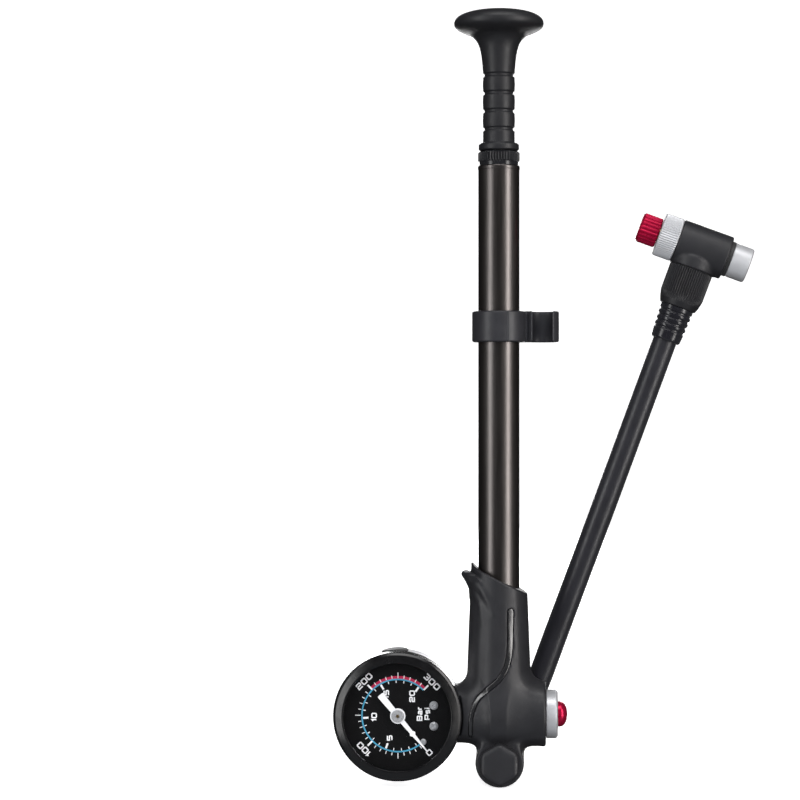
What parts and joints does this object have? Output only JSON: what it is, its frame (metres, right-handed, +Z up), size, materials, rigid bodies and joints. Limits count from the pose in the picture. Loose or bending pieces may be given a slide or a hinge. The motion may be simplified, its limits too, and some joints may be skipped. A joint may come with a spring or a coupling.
{
  "type": "shock suspension pump",
  "caption": "Slim high-pressure hand pump with push handle, dial gauge, bleed button, parking clip and swivelling hose with a screw-on valve connector.",
  "frame": {"origin": "on the barrel's axis, level with the lowest point of the hose pivot boss", "axes": "+Z up the barrel to the handle, +X to the bleed valve and the connector, +Y from the gauge's face back to the hose"},
  "size_m": [0.1431, 0.0381, 0.263],
  "materials": {
    "handle_plastic": "fine matte moulded plastic, black",
    "head_plastic": "fine matte moulded plastic, black",
    "trim_gloss": "polished black plastic",
    "black_anodised": "satin black anodised drawn tube",
    "cap_plastic": "smooth black plastic",
    "clip_plastic": "semi-gloss black plastic",
    "hose_rubber": "smooth black hose, slight sheen",
    "boot_rubber": "smooth black rubber",
    "sleeve_plastic": "ribbed matte black plastic",
    "tee_plastic": "matte black plastic",
    "swivel_black": "black coated brass",
    "silver_aluminium": "satin silver anodised, turned",
    "red_anodised": "bright red anodised",
    "brass": "turned brass",
    "steel": "bright steel",
    "black_rubber": "black rubber",
    "white_acetal": "natural acetal",
    "bezel_black": "semi-gloss black paint",
    "dial_black": "matte black print",
    "needle_white": "white paint",
    "clear_lens": "clear polished lens"
  },
  "bodies": {
    "head": {"barrel": "black_anodised", "barrel_cap": "cap_plastic", "rod_bush": "white_acetal", "rod_wiper": "black_rubber", "head": "head_plastic", "head_trim": "trim_gloss", "barrel_seal": "black_rubber", "valve_seat": "brass", "check_spring": "steel", "bleed_collar": "silver_aluminium", "collar_seal": "black_rubber", "bleed_spring": "steel", "pivot_bolt": "steel", "pivot_seals": "black_rubber", "pivot_cap": "head_plastic", "retaining_clip": "steel", "gauge_case": "steel", "case_plug": "black_rubber", "gauge_bezel": "bezel_black", "gauge_lens": "clear_lens", "lens_gasket": "black_rubber", "dial": "dial_black", "dial_screws": "steel", "stop_pin": "steel", "gauge_socket": "brass", "gauge_seal": "black_rubber", "bourdon_tube": "brass", "movement_frame": "brass"},
    "plunger": {"handle": "handle_plastic", "handle_insert": "brass", "bumper": "black_rubber", "plunger_rod": "silver_aluminium", "piston": "white_acetal", "piston_ring": "black_rubber", "piston_screw": "steel"},
    "clip": {"hose_clip": "clip_plastic"},
    "check_valve": {"check_poppet": "black_rubber"},
    "bleed_valve": {"bleed_button": "red_anodised", "bleed_pin": "brass", "bleed_seal": "black_rubber"},
    "pointer": {"needle": "needle_white", "needle_hub": "steel", "needle_shaft": "brass"},
    "sector": {"sector_gear": "brass"},
    "hose_arm": {"swivel": "swivel_black", "hose_ferrule": "swivel_black", "hose": "hose_rubber", "strain_relief": "boot_rubber", "grip_sleeve": "sleeve_plastic", "tee_body": "tee_plastic"},
    "spindle": {"spindle": "silver_aluminium", "spindle_seals": "black_rubber", "spindle_collar": "silver_aluminium", "nose_seal": "black_rubber", "end_washer": "black_rubber"},
    "depressor": {"depressor_pin": "brass"},
    "knob": {"depressor_knob": "red_anodised", "knob_screw": "brass"}
  },
  "joints": [
    {"name": "plunger_slide", "type": "slide", "parent": "head", "child": "plunger", "axis": [0, 0, 1], "range_m": [0, 0.15]},
    {"name": "clip_turn", "type": "hinge", "parent": "head", "child": "clip", "pos_m": [0, 0, 0.155], "axis": [0, 0, 1], "range_deg": [-200, 20]},
    {"name": "check_valve_slide", "type": "slide", "parent": "head", "child": "check_valve", "axis": [0, 0, -1], "range_m": [0, 0.001], "stiffness_N_per_m": 20, "springref_m": -0.003, "deforming": ["check_spring"]},
    {"name": "bleed_press", "type": "slide", "parent": "head", "child": "bleed_valve", "axis": [-1, 0, 0], "range_m": [0, 0.0026], "stiffness_N_per_m": 250, "springref_m": -0.004, "deforming": ["bleed_spring"]},
    {"name": "needle_turn", "type": "hinge", "parent": "head", "child": "pointer", "pos_m": [-0.0339, 0, 0.024], "axis": [0, 1, 0], "range_deg": [0, 265], "stiffness_Nm_per_rad": 0.0001, "springref_deg": -28.65},
    {"name": "sector_turn", "type": "hinge", "parent": "head", "child": "sector", "pos_m": [-0.0339, 0, 0.0348], "axis": [0, 1, 0], "range_deg": [-33.2, 0]},
    {"name": "hose_swivel", "type": "hinge", "parent": "head", "child": "hose_arm", "pos_m": [0.0004, 0.0152, 0.0082], "axis": [0, 1, 0], "range_deg": [-20, 160]},
    {"name": "spindle_turn", "type": "hinge", "parent": "hose_arm", "child": "spindle", "pos_m": [0.06865, 0.0152, 0.18275], "axis": [0.938, 0, -0.3466], "continuous": true},
    {"name": "depressor_slide", "type": "slide", "parent": "spindle", "child": "depressor", "axis": [0.938, 0, -0.3466], "range_m": [0, 0.0016]},
    {"name": "knob_turn", "type": "hinge", "parent": "depressor", "child": "knob", "pos_m": [0.06865, 0.0152, 0.18275], "axis": [0.938, 0, -0.3466], "range_deg": [0, 720]}
  ],
  "couplings": [
    {"joint": "sector_turn", "follows": "needle_turn", "ratio": -0.125},
    {"joint": "knob_turn", "follows": "depressor_slide", "rad_per_m": 7854}
  ]
}
